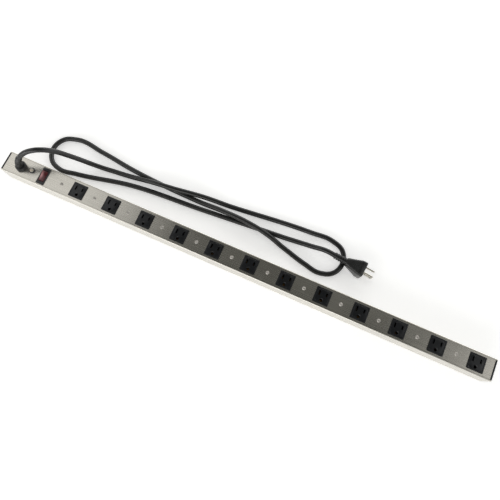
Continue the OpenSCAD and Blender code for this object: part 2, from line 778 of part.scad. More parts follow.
module wire_neutral() color([0.90, 0.90, 0.88]) wire([
    [bushing_x - 0.2, 2.2, wire_start_z],
    [bushing_x - 0.2, 2.2, wire_start_z - 6],
    [bushing_x + 8, 7, low_z + 2],
    [breaker_x, 7, low_z],
    [switch_x0, 7, low_z],
    [stud_x, 8, low_z + 1],
    [bus_wire_x - 3, neutral_lane, bus_wire_z],
    [bus_wire_x, neutral_lane, bus_wire_z]
], wire_d);

module wire_ground() color([0.15, 0.45, 0.22]) wire([
    [bushing_x - 2, -1.2, wire_start_z],
    [bushing_x - 2, -1.2, wire_start_z - 7],
    [bushing_x + 6, -6, low_z + 2],
    [breaker_x, -5, low_z],
    [switch_x0 - 4, -1, low_z],
    [stud_x - cord_lug_reach - 3, 0, back_t + 2],
    [stud_x - cord_lug_reach - wire_gap, 0, back_t + 2]
], wire_d - 0.4);

module wire_earth_bus() color([0.15, 0.45, 0.22]) {
    dir = [cos(bus_lug_turn), sin(bus_lug_turn), 0];
    lug_end = [stud_x, 0, back_t + lug_t + 2] + (bus_lug_reach + wire_gap) * dir;
    wire([
        lug_end,
        lug_end + 2 * dir,
        [bus_start - 4, ground_lane - 0.4, bus_wire_z - 2.6],
        [bus_wire_x - 1, ground_lane, bus_wire_z],
        [bus_wire_x, ground_lane, bus_wire_z]
    ], wire_d - 0.6);
}

module wire_lamp() color([0.90, 0.90, 0.88]) wire([
    [switch_x0 + switch_side, -switch_tab_y, switch_wire_z],
    [switch_x0 + switch_side + 3, -switch_tab_y, switch_wire_z],
    [stud_x, -2, switch_wire_z + 4],
    [bus_wire_x - 2, neutral_lane, bus_wire_z + 2.6],
    [bus_wire_x, neutral_lane, bus_wire_z + 2.6]
], 1.6);

// ---------------------------------------------------------------- cord and plug

// The cord's route: up out of the bushing, over in an arch, along the surface
// to the far loop, back to the loop beside the bushing and out to the plug
cord_route = [
    [-424, 0, 26.4], [-424, 0, 44], [-423.8, 0.5, 49], [-421.8, 3.5, 58], [-416.5, 9.5, 68], [-407, 17.5, 76],
    [-394, 26, 79.5], [-380.5, 35.5, 74.5], [-368.5, 44, 62.5], [-356, 51.5, 44], [-341, 58, 26], [-321, 63, 12],
    [-292, 67, 5.5], [-250, 71, 6], [-205, 75, 13.5], [-155, 80, 15], [-105, 88.5, 9], [-50, 93, 5],
    [100, 106, 5], [141, 107, 5], [164, 97.5, 5], [173, 75, 5], [164, 52.5, 5], [141, 43, 5], [112, 47.5, 5],
    [65, 60, 5], [38, 67, 11.5], [10, 72, 15.2], [-22, 75.5, 15], [-62, 77.5, 11], [-110, 78, 5], [-250, 85, 5],
    [-320, 94, 5], [-376, 98, 5], [-399.5, 88, 5], [-409.5, 64.5, 5], [-399.5, 41, 5], [-376, 31, 5],
    [-345, 35, 5], [-240, 56, 5], [-100, 66, 5], [50, 77, 5], [110, 81, 10.5], [141, 81.7, 17.8],
    [152.9, 80.6, 17.1]
];
cord_stations = stations(cord_route, 25);

module cord() color([0.06, 0.06, 0.07]) {
    sweep(cord_stations, [for (s = cord_stations) cord_d / 2], 10);
}

// The boot follows the cord's first bend, from the top of the bushing
boot_bend = [[0, 0, 0], [0.2, 0.5, 5], [2.2, 3.5, 14], [7.5, 9.5, 24], [17, 17.5, 32]];

module cord_boot() color([0.05, 0.05, 0.06]) {
    all_st = stations([for (p = boot_bend) p + [bushing_x, 0, strip_h + bushing_h]], 25);
    last = len(all_st) - 2;
    // its base stands square on the bushing
    st = [for (i = [0:last]) i == 0 ? [all_st[0][0], [0, 0, 1]] : all_st[i]];
    outer_base = bushing_flats / 2 - 2.4;
    outer_tip = cord_d / 2 + 0.7;
    sweep_tube(st, [for (i = [0:last]) outer_base + (outer_tip - outer_base) * i / last],
        [for (s = st) cord_d / 2 + fit], 10);
}

// The plug's pieces are drawn with the front face at the origin, blades along +X
plug_face = [210.5, 75, 13.9];
plug_turn = [0, 3.2, -5.5];

module at_plug() {
    translate(plug_face) rotate(plug_turn) children();
}

module rounded_slab(x0, x1, y, z, r) {
    for (sy = [-1, 1]) for (sz = [-1, 1])
        translate([x0, sy * (y / 2 - r), sz * (z / 2 - r)]) rotate([0, 90, 0]) cylinder(r = r, h = x1 - x0, $fn = 32);
}

plug_tail = 15;        // height and width of the body where it meets its strain relief

module plug_body() color([0.08, 0.08, 0.09]) {
    at_plug() hull() {
        rounded_slab(-9, 0, plug_w, plug_h, 4);
        rounded_slab(-plug_len, -plug_len + 2, plug_tail, plug_tail, 5);
    }
}

module plug_strain_relief() color([0.07, 0.07, 0.08]) {
    rib_count = 5;
    rib_pitch = (relief_len - 3) / rib_count;
    at_plug() translate([-plug_len - relief_len, 0, 0]) rotate([0, 90, 0]) {
        cylinder(r1 = cord_d / 2 + 0.6, r2 = cord_d / 2 + 1.4, h = relief_len);
        for (i = [0:rib_count - 1]) translate([0, 0, 2 + i * rib_pitch])
            cylinder(r = cord_d / 2 + 1.4 + 0.2 * i, h = rib_pitch / 2);
    }
}

blade_rise = 4;        // height of the blades above the plug's middle

module plug_blades() color([0.80, 0.78, 0.72]) {
    at_plug() for (s = [-1, 1]) translate([0, s * blade_gap / 2, blade_rise]) difference() {
        translate([0, -blade_t / 2, -blade_w / 2]) cube([blade_len, blade_t, blade_w]);
        translate([blade_len - 4, 0, 0]) rotate([90, 0, 0]) cylinder(d = 3.2, h = 2 * blade_t, center = true);
    }
}

module plug_ground_pin() color([0.80, 0.78, 0.72]) {
    pin_r = 2.375;
    pin_len = 21;
    at_plug() translate([0, 0, blade_rise - earth_offset]) {
        rotate([0, 90, 0]) cylinder(r = pin_r, h = pin_len - pin_r);
        translate([pin_len - pin_r, 0, 0]) sphere(pin_r);
    }
}

// ---------------------------------------------------------------- nodes

channel();
front_plate();
end_cap(-1);  // end_cap_left
end_cap(1);  // end_cap_right
end_cap_screws();
plate_rivets();
mount_nuts();
for (n = [1:outlet_count]) outlet(n);
bus_carrier();
line_bus();
neutral_bus();
ground_bus();
switch_housing();
rocker();
rocker_plunger();
contact_lever();
switch_terminals();
switch_lamp();
breaker_case();
breaker_cover();
breaker_nuts();
breaker_button();
breaker_spring();
breaker_bimetal();
breaker_terminals();
cord_bushing();
bushing_locknut();
cord_boot();
ground_stud();
ground_lugs();
terminal_sleeves();
wire_line_in();
wire_line_link();
wire_line_bus();
wire_neutral();
wire_ground();
wire_earth_bus();
wire_lamp();
cord();
plug_body();
plug_strain_relief();
plug_blades();
plug_ground_pin();
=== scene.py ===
"""Rack power strip: new pieces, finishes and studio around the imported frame."""

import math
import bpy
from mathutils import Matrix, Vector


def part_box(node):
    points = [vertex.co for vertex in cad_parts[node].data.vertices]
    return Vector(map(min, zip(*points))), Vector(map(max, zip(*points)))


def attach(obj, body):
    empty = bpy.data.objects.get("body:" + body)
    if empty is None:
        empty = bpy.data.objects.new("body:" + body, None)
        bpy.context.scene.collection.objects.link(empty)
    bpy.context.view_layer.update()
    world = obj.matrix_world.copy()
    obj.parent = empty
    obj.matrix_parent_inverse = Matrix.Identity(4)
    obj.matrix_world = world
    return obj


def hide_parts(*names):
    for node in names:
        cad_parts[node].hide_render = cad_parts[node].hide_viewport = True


bl_info = {
    "name": "Rack Power Strip",
    "version": (1, 0, 0),
    "blender": (4, 5, 0),
    "location": "3D View > Sidebar > Power Strip",
    "description": "Models the moulded and turned pieces of a rack power strip, and their finishes",
    "category": "Add Mesh",
}

import bmesh
import bpy
from mathutils import Matrix, Vector

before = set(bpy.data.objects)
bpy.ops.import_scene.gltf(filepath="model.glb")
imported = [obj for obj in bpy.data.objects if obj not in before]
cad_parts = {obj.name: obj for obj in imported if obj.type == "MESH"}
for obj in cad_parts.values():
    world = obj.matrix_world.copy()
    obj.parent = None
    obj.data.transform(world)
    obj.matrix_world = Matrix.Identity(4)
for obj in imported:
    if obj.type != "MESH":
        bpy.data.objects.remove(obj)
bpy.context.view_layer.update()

MM = 0.001
OUTLETS = sorted(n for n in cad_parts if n.startswith("outlet_"))


def middle(node):
    """Centre of a CAD node's box."""
    low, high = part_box(node)
    return (low + high) / 2


BUSHING_X = middle("cord_bushing").x
SWITCH_X = middle("switch_housing").x
BREAKER = middle("breaker_button")
FACE_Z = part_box("front_plate")[1].z        # top of the metal face
BUSHING_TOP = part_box("cord_bushing")[1].z
SWITCH_LOW, SWITCH_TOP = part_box("switch_housing")[0].z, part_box("switch_housing")[1].z
PIVOT_Z = FACE_Z - 1.5 * MM                # the rocker tilts about this height
ROCKER_REST = math.radians(9)

# The plug's own frame: front face at the origin, blades along +X
PLUG = (Matrix.Translation((210.5 * MM, 75 * MM, 13.9 * MM))
        @ Matrix.Rotation(math.radians(-5.5), 4, "Z") @ Matrix.Rotation(math.radians(3.2), 4, "Y"))
AXIS_X = Matrix.Rotation(math.radians(90), 4, "Y")    # turns a piece's own Z to +X

# The cord's middle line, in millimetres, from inside the channel to the plug
CORD_ROUTE = [
    (-424, 0, 26.4), (-424, 0, 44), (-423.8, 0.5, 49), (-421.8, 3.5, 58), (-416.5, 9.5, 68),
    (-407, 17.5, 76), (-394, 26, 79.5), (-380.5, 35.5, 74.5), (-368.5, 44, 62.5), (-356, 51.5, 44),
    (-341, 58, 26), (-321, 63, 12), (-292, 67, 5.5), (-250, 71, 6), (-205, 75, 13.5),
    (-155, 80, 15), (-105, 88.5, 9), (-50, 93, 5), (100, 106, 5), (141, 107, 5),
    (164, 97.5, 5), (173, 75, 5), (164, 52.5, 5), (141, 43, 5), (112, 47.5, 5),
    (65, 60, 5), (38, 67, 11.5), (10, 72, 15.2), (-22, 75.5, 15), (-62, 77.5, 11),
    (-110, 78, 5), (-250, 85, 5), (-320, 94, 5), (-376, 98, 5), (-399.5, 88, 5),
    (-409.5, 64.5, 5), (-399.5, 41, 5), (-376, 31, 5), (-345, 35, 5), (-240, 56, 5),
    (-100, 66, 5), (50, 77, 5), (110, 81, 10.5), (141, 81.7, 17.8), (152.9, 80.6, 17.1),
]
EXIT_KNOT = 1              # the knot on top of the bushing
BOOT_END_KNOT = 4          # the knot at the tip of the boot
TANGENT_REACH = 1.04       # how full the bends are, as a share of the distance between knots
CORD_STEP = 3.2 * MM       # about how far apart the line's points are

BLADE_GAP = 12.7           # between the two blades' middles, in the plug and in the outlets


# ------------------------------------------------------------------ sizes and finishes

def size(name, description, default, low, high):
    """A length that a user may change, given in millimetres."""
    return bpy.props.FloatProperty(name=name, description=description, default=default * MM,
                                   min=low * MM, max=high * MM, unit="LENGTH")


class StripSizes(bpy.types.PropertyGroup):
    cord_d: size("Cord Diameter", "Outside diameter of the cord", 9.2, 6, 12)
    outlet_flange: size("Outlet Flange", "Side of an outlet's square flange", 27.6, 20, 30)
    outlet_body: size("Outlet Body", "Side of an outlet's body under the face", 25.6, 20, 27)
    bushing_flats: size("Bushing Flats", "Width of the bushing across its flats", 18, 15, 20)
    bezel_x: size("Bezel Width", "Width of the switch bezel along the strip", 15, 12, 18)
    bezel_y: size("Bezel Length", "Length of the switch bezel across the strip", 32, 25, 33)
    button_d: size("Button Diameter", "Diameter of the breaker's reset button", 6.6, 5, 8)
    plug_len: size("Plug Length", "Length of the plug's body", 34, 28, 40)
    # strength of the rocker's glow, which also carries the painted shade on its right side
    lamp_glow_and_shade: bpy.props.FloatProperty(name="Lamp Glow", description="How strongly the lit rocker glows",
                                       default=0.28, min=0, max=2)


def colour(name, description, default):
    return bpy.props.FloatVectorProperty(name=name, description=description, subtype="COLOR", size=3,
                                         min=0, max=1, default=default)


class StripFinishes(bpy.types.PropertyGroup):
    housing: colour("Housing Metal", "Anodised face and channel", (0.64, 0.615, 0.56))
    moulding: colour("Black Moulding", "Outlets, bezel and end caps", (0.0052, 0.0060, 0.0074))
    vinyl: colour("Cord Vinyl", "Cord, boot and plug", (0.0155, 0.0162, 0.0162))
    rocker: colour("Rocker Red", "Translucent rocker", (0.05, 0.003, 0.004))
    button: colour("Reset Button", "Breaker's push button", (0.46, 0.42, 0.35))
    brass: colour("Brass", "Bus bars and contacts", (0.80, 0.58, 0.26))
    floor: colour("Floor", "Studio floor", (0.93, 0.93, 0.925))


def sizes():
    return bpy.context.scene.strip_sizes


def finishes():
    return bpy.context.scene.strip_finishes


# ------------------------------------------------------------------ modelling helpers

def clear_selection():
    if bpy.context.object and bpy.context.object.mode != "OBJECT":
        bpy.ops.object.mode_set(mode="OBJECT")
    bpy.ops.object.select_all(action="DESELECT")


def select_only(*pieces):
    clear_selection()
    for piece in pieces:
        piece.select_set(True)
    bpy.context.view_layer.objects.active = pieces[0]


def apply_modifier(piece, kind, **settings):
    select_only(piece)
    modifier = piece.modifiers.new(kind.title(), kind)
    for key, value in settings.items():
        setattr(modifier, key, value)
    bpy.ops.object.modifier_apply(modifier=modifier.name)


def soften(piece, width, segments=2, angle=40):
    """Rounds the piece's sharp edges."""
    apply_modifier(piece, "BEVEL", width=width, segments=segments, limit_method="ANGLE",
                   angle_limit=math.radians(angle), harden_normals=False)


def cut(piece, *cutters):
    """Takes each cutter's shape out of the piece."""
    for cutter in cutters:
        apply_modifier(piece, "BOOLEAN", operation="DIFFERENCE", solver="EXACT", object=cutter)
        bpy.data.objects.remove(cutter, do_unlink=True)


def place(piece, matrix):
    """Puts the piece's place into its mesh and leaves its object at the origin."""
    select_only(piece)
    bpy.ops.object.transform_apply(location=True, rotation=True, scale=True)
    piece.data.transform(matrix)
    piece.data.update()


def smooth(piece, angle=38):
    select_only(piece)
    bpy.ops.object.shade_smooth_by_angle(angle=math.radians(angle))


def outward(piece):
    """Merges doubled points and turns all faces outward."""
    select_only(piece)
    bpy.ops.object.mode_set(mode="EDIT")
    bpy.ops.mesh.select_all(action="SELECT")
    bpy.ops.mesh.remove_doubles(threshold=1e-6)
    bpy.ops.mesh.delete_loose()
    bpy.ops.mesh.select_all(action="SELECT")
    bpy.ops.mesh.normals_make_consistent(inside=False)
    bpy.ops.object.mode_set(mode="OBJECT")


def spun(name, profile, steps=48):
    """A turned piece: a closed outline of (radius, height) is spun once round Z."""
    clear_selection()
    bpy.ops.mesh.primitive_circle_add(vertices=len(profile), radius=0.01)
    piece = bpy.context.object
    piece.name = name
    for vertex, (r, z) in zip(piece.data.vertices, profile):
        vertex.co = (r, 0, z)
    bpy.ops.object.mode_set(mode="EDIT")
    bpy.ops.mesh.select_all(action="SELECT")
    bpy.ops.mesh.spin(steps=steps, angle=math.tau, center=(0, 0, 0), axis=(0, 0, 1))
    bpy.ops.object.mode_set(mode="OBJECT")
    outward(piece)
    return piece


def lofted(name, sections):
    """A piece grown from its first section by extruding its end face to each next one."""
    clear_selection()
    bpy.ops.mesh.primitive_circle_add(vertices=len(sections[0]), radius=0.01, fill_type="NGON")
    piece = bpy.context.object
    piece.name = name
    seat = piece.data.attributes.new("seat", "INT", "POINT")
    for i, point in enumerate(sections[0]):
        piece.data.vertices[i].co = point
        seat.data[i].value = i
    bpy.ops.object.mode_set(mode="EDIT")
    bpy.ops.mesh.select_all(action="SELECT")
    for section in sections[1:]:
        bpy.ops.mesh.extrude_region_move()
        mesh = bmesh.from_edit_mesh(piece.data)
        layer = mesh.verts.layers.int["seat"]
        for vertex in mesh.verts:
            if vertex.select:
                vertex.co = section[vertex[layer]]
        bmesh.update_edit_mesh(piece.data)
    bpy.ops.object.mode_set(mode="OBJECT")
    outward(piece)
    piece.data.attributes.remove(piece.data.attributes["seat"])
    return piece


def rounded(w, h, r, z, steps=5, at=(0, 0)):
    """Points of a rectangle with rounded corners at height z."""
    points = []
    for quarter in range(4):
        sx, sy = ((1, 1), (-1, 1), (-1, -1), (1, -1))[quarter]
        for k in range(steps + 1):
            a = (quarter + k / steps) * math.pi / 2
            points.append(Vector((at[0] + sx * (w / 2 - r) + r * math.cos(a),
                                  at[1] + sy * (h / 2 - r) + r * math.sin(a), z)))
    return points


def slab(name, rows, at=(0, 0), steps=5):
    """A lofted piece of rounded rectangles: rows of (height, width, length, corner radius)."""
    return lofted(name, [rounded(w, h, r, z, steps, at) for z, w, h, r in rows])


def in_mm(rows):
    return [tuple(v * MM for v in row) for row in rows]


def copy_of(piece, name, offset):
    twin = piece.copy()
    twin.data = piece.data.copy()
    twin.name = twin.data.name = name
    twin.data.transform(Matrix.Translation(offset))
    bpy.context.collection.objects.link(twin)
    return twin


def settle(piece, body, slot, *nodes):
    """Gives the piece its finish, its body and the CAD nodes that it stands for."""
    if piece.type == "MESH":
        piece.data.name = piece.name
    piece.data.materials.clear()
    piece.data.materials.append(finish(slot))
    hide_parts(*nodes)
    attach(piece, body)


# ------------------------------------------------------------------ the cord's line

def knot_direction(points, i):
    """Which way the line runs at a point: level where it is at its highest or lowest."""
    if i == 0 or i == len(points) - 1:
        a, b = (points[0], points[1]) if i == 0 else (points[-2], points[-1])
        return (b - a).normalized()
    before, after = points[i] - points[i - 1], points[i + 1] - points[i]
    blend = before * (after.length / before.length) + after * (before.length / after.length)
    if before.z * after.z <= 0:
        blend.z = 0
    return blend.normalized()


def smooth_line(points, spacing):
    """Points along one smooth curve through the given ones, with the knot each one follows."""
    line = []
    for i in range(len(points) - 1):
        p, q = points[i], points[i + 1]
        reach = (q - p).length * TANGENT_REACH
        t0, t1 = knot_direction(points, i) * reach, knot_direction(points, i + 1) * reach
        count = max(2, round((q - p).length / spacing))
        for k in range(count):
            t = k / count
            line.append((i, p * (2 * t**3 - 3 * t**2 + 1) + t0 * (t**3 - 2 * t**2 + t)
                         + q * (3 * t**2 - 2 * t**3) + t1 * (t**3 - t**2)))
    line.append((len(points) - 1, points[-1]))
    return line


CORD_LINE = smooth_line([Vector(p) * MM for p in CORD_ROUTE], CORD_STEP)


def line_length(points):
    return sum((b - a).length for a, b in zip(points, points[1:]))


def bent(piece, line):
    """Bends a straight piece, standing on Z = 0, so that its Z runs along the line."""
    reach = [0.0]
    for a, b in zip(line, line[1:]):
        reach.append(reach[-1] + (b - a).length)
    side = Vector((0, 1, 0))
    frames = []
    for i in range(len(line)):
        ahead = (line[min(i + 1, len(line) - 1)] - line[max(i - 1, 0)]).normalized()
        if i == 0:
            ahead = Vector((0, 0, 1))
        side = (side - ahead * side.dot(ahead)).normalized()
        frames.append((ahead, side.copy(), side.cross(ahead)))
    for vertex in piece.data.vertices:
        x, y, z = vertex.co
        k = max(i for i in range(len(line) - 1) if reach[i] <= z or i == 0)
        t = (z - reach[k]) / (reach[k + 1] - reach[k])
        ahead, up, across = (a.lerp(b, t) for a, b in zip(frames[k], frames[k + 1]))
        vertex.co = line[k].lerp(line[k + 1], t) + across * x + up * y
    piece.data.update()


# ------------------------------------------------------------------ shared effects

def add(tree, kind, x=0, **settings):
    """Adds a node; each setting is one of its properties, or else a socket's value."""
    node = tree.nodes.new(kind)
    node.location.x = x
    for key, value in settings.items():
        if hasattr(node, key):
            setattr(node, key, value)
        else:
            node.inputs[key.replace("_", " ")].default_value = value
    return node


def new_group(name, inputs, outputs):
    """An empty node group with its input and output nodes."""
    tree = bpy.data.node_groups.new(name, "ShaderNodeTree")
    for socket, kind, value in inputs:
        item = tree.interface.new_socket(name=socket, in_out="INPUT", socket_type=kind)
        if value is not None:
            item.default_value = value
    for socket in outputs:
        tree.interface.new_socket(name=socket, in_out="OUTPUT", socket_type="NodeSocketFloat")
    return tree, tree.nodes.new("NodeGroupInput"), tree.nodes.new("NodeGroupOutput")


def noise(tree, vector, scale, detail=4.0, roughness=0.55):
    node = add(tree, "ShaderNodeTexNoise", Detail=detail, Roughness=roughness)
    tree.links.new(vector, node.inputs["Vector"])
    if isinstance(scale, (int, float)):
        node.inputs["Scale"].default_value = scale
    else:
        tree.links.new(scale, node.inputs["Scale"])
    return node.outputs["Fac"]


def sums(tree, kind, a, b, clamp=False):
    """One step of arithmetic on two sockets or numbers."""
    node = add(tree, "ShaderNodeMath", operation=kind, use_clamp=clamp)
    for socket, value in zip(node.inputs, (a, b)):
        if isinstance(value, (int, float)):
            socket.default_value = value
        else:
            tree.links.new(value, socket)
    return node.outputs[0]


def mixed(tree, a, share_a, b, share_b):
    return sums(tree, "ADD", sums(tree, "MULTIPLY", a, share_a), sums(tree, "MULTIPLY", b, share_b))


def brushed_group():
    """Fine lines along X, as a sanding belt leaves them, over slow cloudy patches."""
    tree, inside, out = new_group("Brushed Grain", [("Vector", "NodeSocketVector", None),
                                                    ("Patch Scale", "NodeSocketFloat", 9.0)],
                                  ["Height", "Tint", "Gloss"])
    stretch = add(tree, "ShaderNodeVectorMath", operation="MULTIPLY")
    stretch.inputs[1].default_value = (14.0, 900.0, 900.0)
    tree.links.new(inside.outputs["Vector"], stretch.inputs[0])
    fine = noise(tree, stretch.outputs[0], 1.0, 5.0, 0.7)
    coarse = add(tree, "ShaderNodeVectorMath", operation="MULTIPLY")
    coarse.inputs[1].default_value = (5.0, 260.0, 260.0)
    tree.links.new(inside.outputs["Vector"], coarse.inputs[0])
    streak = noise(tree, coarse.outputs[0], 1.0, 3.0)
    patch = noise(tree, inside.outputs["Vector"], inside.outputs["Patch Scale"], 3.0)
    tree.links.new(sums(tree, "ADD", fine, sums(tree, "MULTIPLY", streak, 0.6)), out.inputs["Height"])
    tree.links.new(mixed(tree, streak, 0.5, patch, 0.5), out.inputs["Tint"])
    tree.links.new(mixed(tree, fine, 0.6, patch, 0.4), out.inputs["Gloss"])
    return tree


def moulded_group():
    """Spark-eroded mould grain, soft flow marks and a little settled dust."""
    tree, inside, out = new_group("Moulded Skin", [("Vector", "NodeSocketVector", None),
                                                   ("Grain Scale", "NodeSocketFloat", 2500.0),
                                                   ("Flow Scale", "NodeSocketFloat", 60.0)],
                                  ["Height", "Tint", "Gloss", "Dust"])
    vector = inside.outputs["Vector"]
    grain = noise(tree, vector, inside.outputs["Grain Scale"], 2.0)
    flow = noise(tree, vector, inside.outputs["Flow Scale"], 4.0)
    speck = noise(tree, vector, 900.0, 3.0, 0.7)
    facing = add(tree, "ShaderNodeNewGeometry")
    split = add(tree, "ShaderNodeSeparateXYZ")
    tree.links.new(facing.outputs["Normal"], split.inputs[0])
    upward = sums(tree, "MULTIPLY", split.outputs["Z"], 1.0, clamp=True)
    bare = 0.62                                # specks weaker than this leave no dust
    settled = sums(tree, "MULTIPLY", sums(tree, "SUBTRACT", speck, bare, clamp=True), 5.0, clamp=True)
    dust = sums(tree, "MULTIPLY", upward, settled, clamp=True)
    tree.links.new(sums(tree, "ADD", grain, sums(tree, "MULTIPLY", flow, 0.4)), out.inputs["Height"])
    tree.links.new(flow, out.inputs["Tint"])
    tree.links.new(mixed(tree, grain, 0.5, flow, 0.5), out.inputs["Gloss"])
    tree.links.new(dust, out.inputs["Dust"])
    return tree


def plated_group():
    """Barrel-plated small parts: faint pits, smudges and rubbed spots."""
    tree, inside, out = new_group("Plated Skin", [("Vector", "NodeSocketVector", None),
                                                  ("Smudge Scale", "NodeSocketFloat", 120.0)],
                                  ["Height", "Tint", "Gloss"])
    vector = inside.outputs["Vector"]
    pits = add(tree, "ShaderNodeTexVoronoi", Scale=1400.0)
    tree.links.new(vector, pits.inputs["Vector"])
    smudge = noise(tree, vector, inside.outputs["Smudge Scale"], 4.0, 0.6)
    rub = noise(tree, vector, 600.0, 5.0, 0.7)
    tree.links.new(sums(tree, "ADD", sums(tree, "MULTIPLY", pits.outputs["Distance"], 0.5), rub),
                   out.inputs["Height"])
    tree.links.new(mixed(tree, smudge, 0.7, rub, 0.3), out.inputs["Tint"])
    tree.links.new(smudge, out.inputs["Gloss"])
    return tree


EFFECTS = {"brushed": ("Brushed Grain", brushed_group), "moulded": ("Moulded Skin", moulded_group),
           "plated": ("Plated Skin", plated_group)}


def effect(kind):
    """The shared effect's node group, built when it is first asked for."""
    name, build = EFFECTS[kind]
    return bpy.data.node_groups.get(name) or build()


DUST_COLOUR = (0.42, 0.40, 0.37, 1.0)
DIM_STOP, BRIGHT_STOP = 0.3, 0.7       # most of a noise lies between these


def shade(rgb, factor):
    return tuple(min(1.0, c * factor) for c in rgb) + (1.0,)


def surface(name, kind, rgb, gloss, bump, spread=(0.8, 1.18), depth=0.00003, dust=None, **constants):
    """A material: one shared effect feeds its colour, roughness and relief."""
    material = bpy.data.materials.new(name)
    material.use_nodes = True
    tree = material.node_tree
    shader = next(n for n in tree.nodes if n.type == "BSDF_PRINCIPLED")
    coords = add(tree, "ShaderNodeTexCoord", -1200)
    group = add(tree, "ShaderNodeGroup", -1000)
    group.node_tree = effect(kind)
    tree.links.new(coords.outputs["Object"], group.inputs["Vector"])
    ramp = add(tree, "ShaderNodeValToRGB", -700)
    for stop, position, factor in zip(ramp.color_ramp.elements, (DIM_STOP, BRIGHT_STOP), spread):
        stop.position, stop.color = position, shade(rgb, factor)
    tree.links.new(group.outputs["Tint"], ramp.inputs["Fac"])
    tint = ramp.outputs["Color"]
    if dust:
        mix = add(tree, "ShaderNodeMix", -400, data_type="RGBA")
        tree.links.new(sums(tree, "MULTIPLY", group.outputs["Dust"], dust), mix.inputs["Factor"])
        tree.links.new(tint, mix.inputs["A"])
        mix.inputs["B"].default_value = DUST_COLOUR
        tint = mix.outputs["Result"]
    tree.links.new(tint, shader.inputs["Base Color"])
    reach = add(tree, "ShaderNodeMapRange", -400, From_Min=DIM_STOP, From_Max=BRIGHT_STOP,
                To_Min=gloss[0], To_Max=gloss[1])
    tree.links.new(group.outputs["Gloss"], reach.inputs["Value"])
    tree.links.new(reach.outputs["Result"], shader.inputs["Roughness"])
    relief = add(tree, "ShaderNodeBump", -400, Strength=bump, Distance=depth)
    tree.links.new(group.outputs["Height"], relief.inputs["Height"])
    tree.links.new(relief.outputs["Normal"], shader.inputs["Normal"])
    for key, value in constants.items():
        shader.inputs[key.replace("_", " ")].default_value = value
    return material, shader


def rocker_material():
    """Clear red over a small lamp: brightest a little left of the middle and darker to the sides; the
    darker right side is painted shade, the rest is the lamp's glow.
    """
    look = finishes()
    material, shader = surface("rocker_red", "moulded", look.rocker, (0.16, 0.3), 0.15, spread=(0.85, 1.12),
                               dust=0.12, Subsurface_Weight=0.25, Subsurface_Scale=0.002,
                               Coat_Weight=0.35, Coat_Roughness=0.08)
    tree = material.node_tree
    coords = next(n for n in tree.nodes if n.type == "TEX_COORD")
    centre = add(tree, "ShaderNodeMapping", -1000)
    reach = (7.0 * MM, 15 * MM, 16 * MM)       # how far the glow carries each way; kept short along X so that the right side reads darker, as painted shade
    # the glow's centre sits left of the rocker's middle, which paints shade on the rocker's right side
    glow_centre_and_shade_side = (SWITCH_X - 4.2 * MM, 1.0 * MM, FACE_Z)
    centre.inputs["Scale"].default_value = tuple(1 / r for r in reach)
    centre.inputs["Location"].default_value = tuple(-m / r for m, r in zip(glow_centre_and_shade_side, reach))
    tree.links.new(coords.outputs["Object"], centre.inputs["Vector"])
    ball = add(tree, "ShaderNodeTexGradient", -800, gradient_type="QUADRATIC_SPHERE")
    tree.links.new(centre.outputs["Vector"], ball.inputs["Vector"])
    glow_and_shade = add(tree, "ShaderNodeValToRGB", -500)
    dim_end_and_shade_stop, lamp_stop = glow_and_shade.color_ramp.elements
    dim_end_and_shade_stop.position, dim_end_and_shade_stop.color = 0.05, (0.05, 0.0, 0.002, 1)
    lamp_stop.position, lamp_stop.color = 0.6, (1.0, 0.5, 0.5, 1)
    tree.links.new(ball.outputs["Fac"], glow_and_shade.inputs["Fac"])
    tree.links.new(glow_and_shade.outputs["Color"], shader.inputs["Emission Color"])
    shader.inputs["Emission Strength"].default_value = sizes().lamp_glow_and_shade
    return material


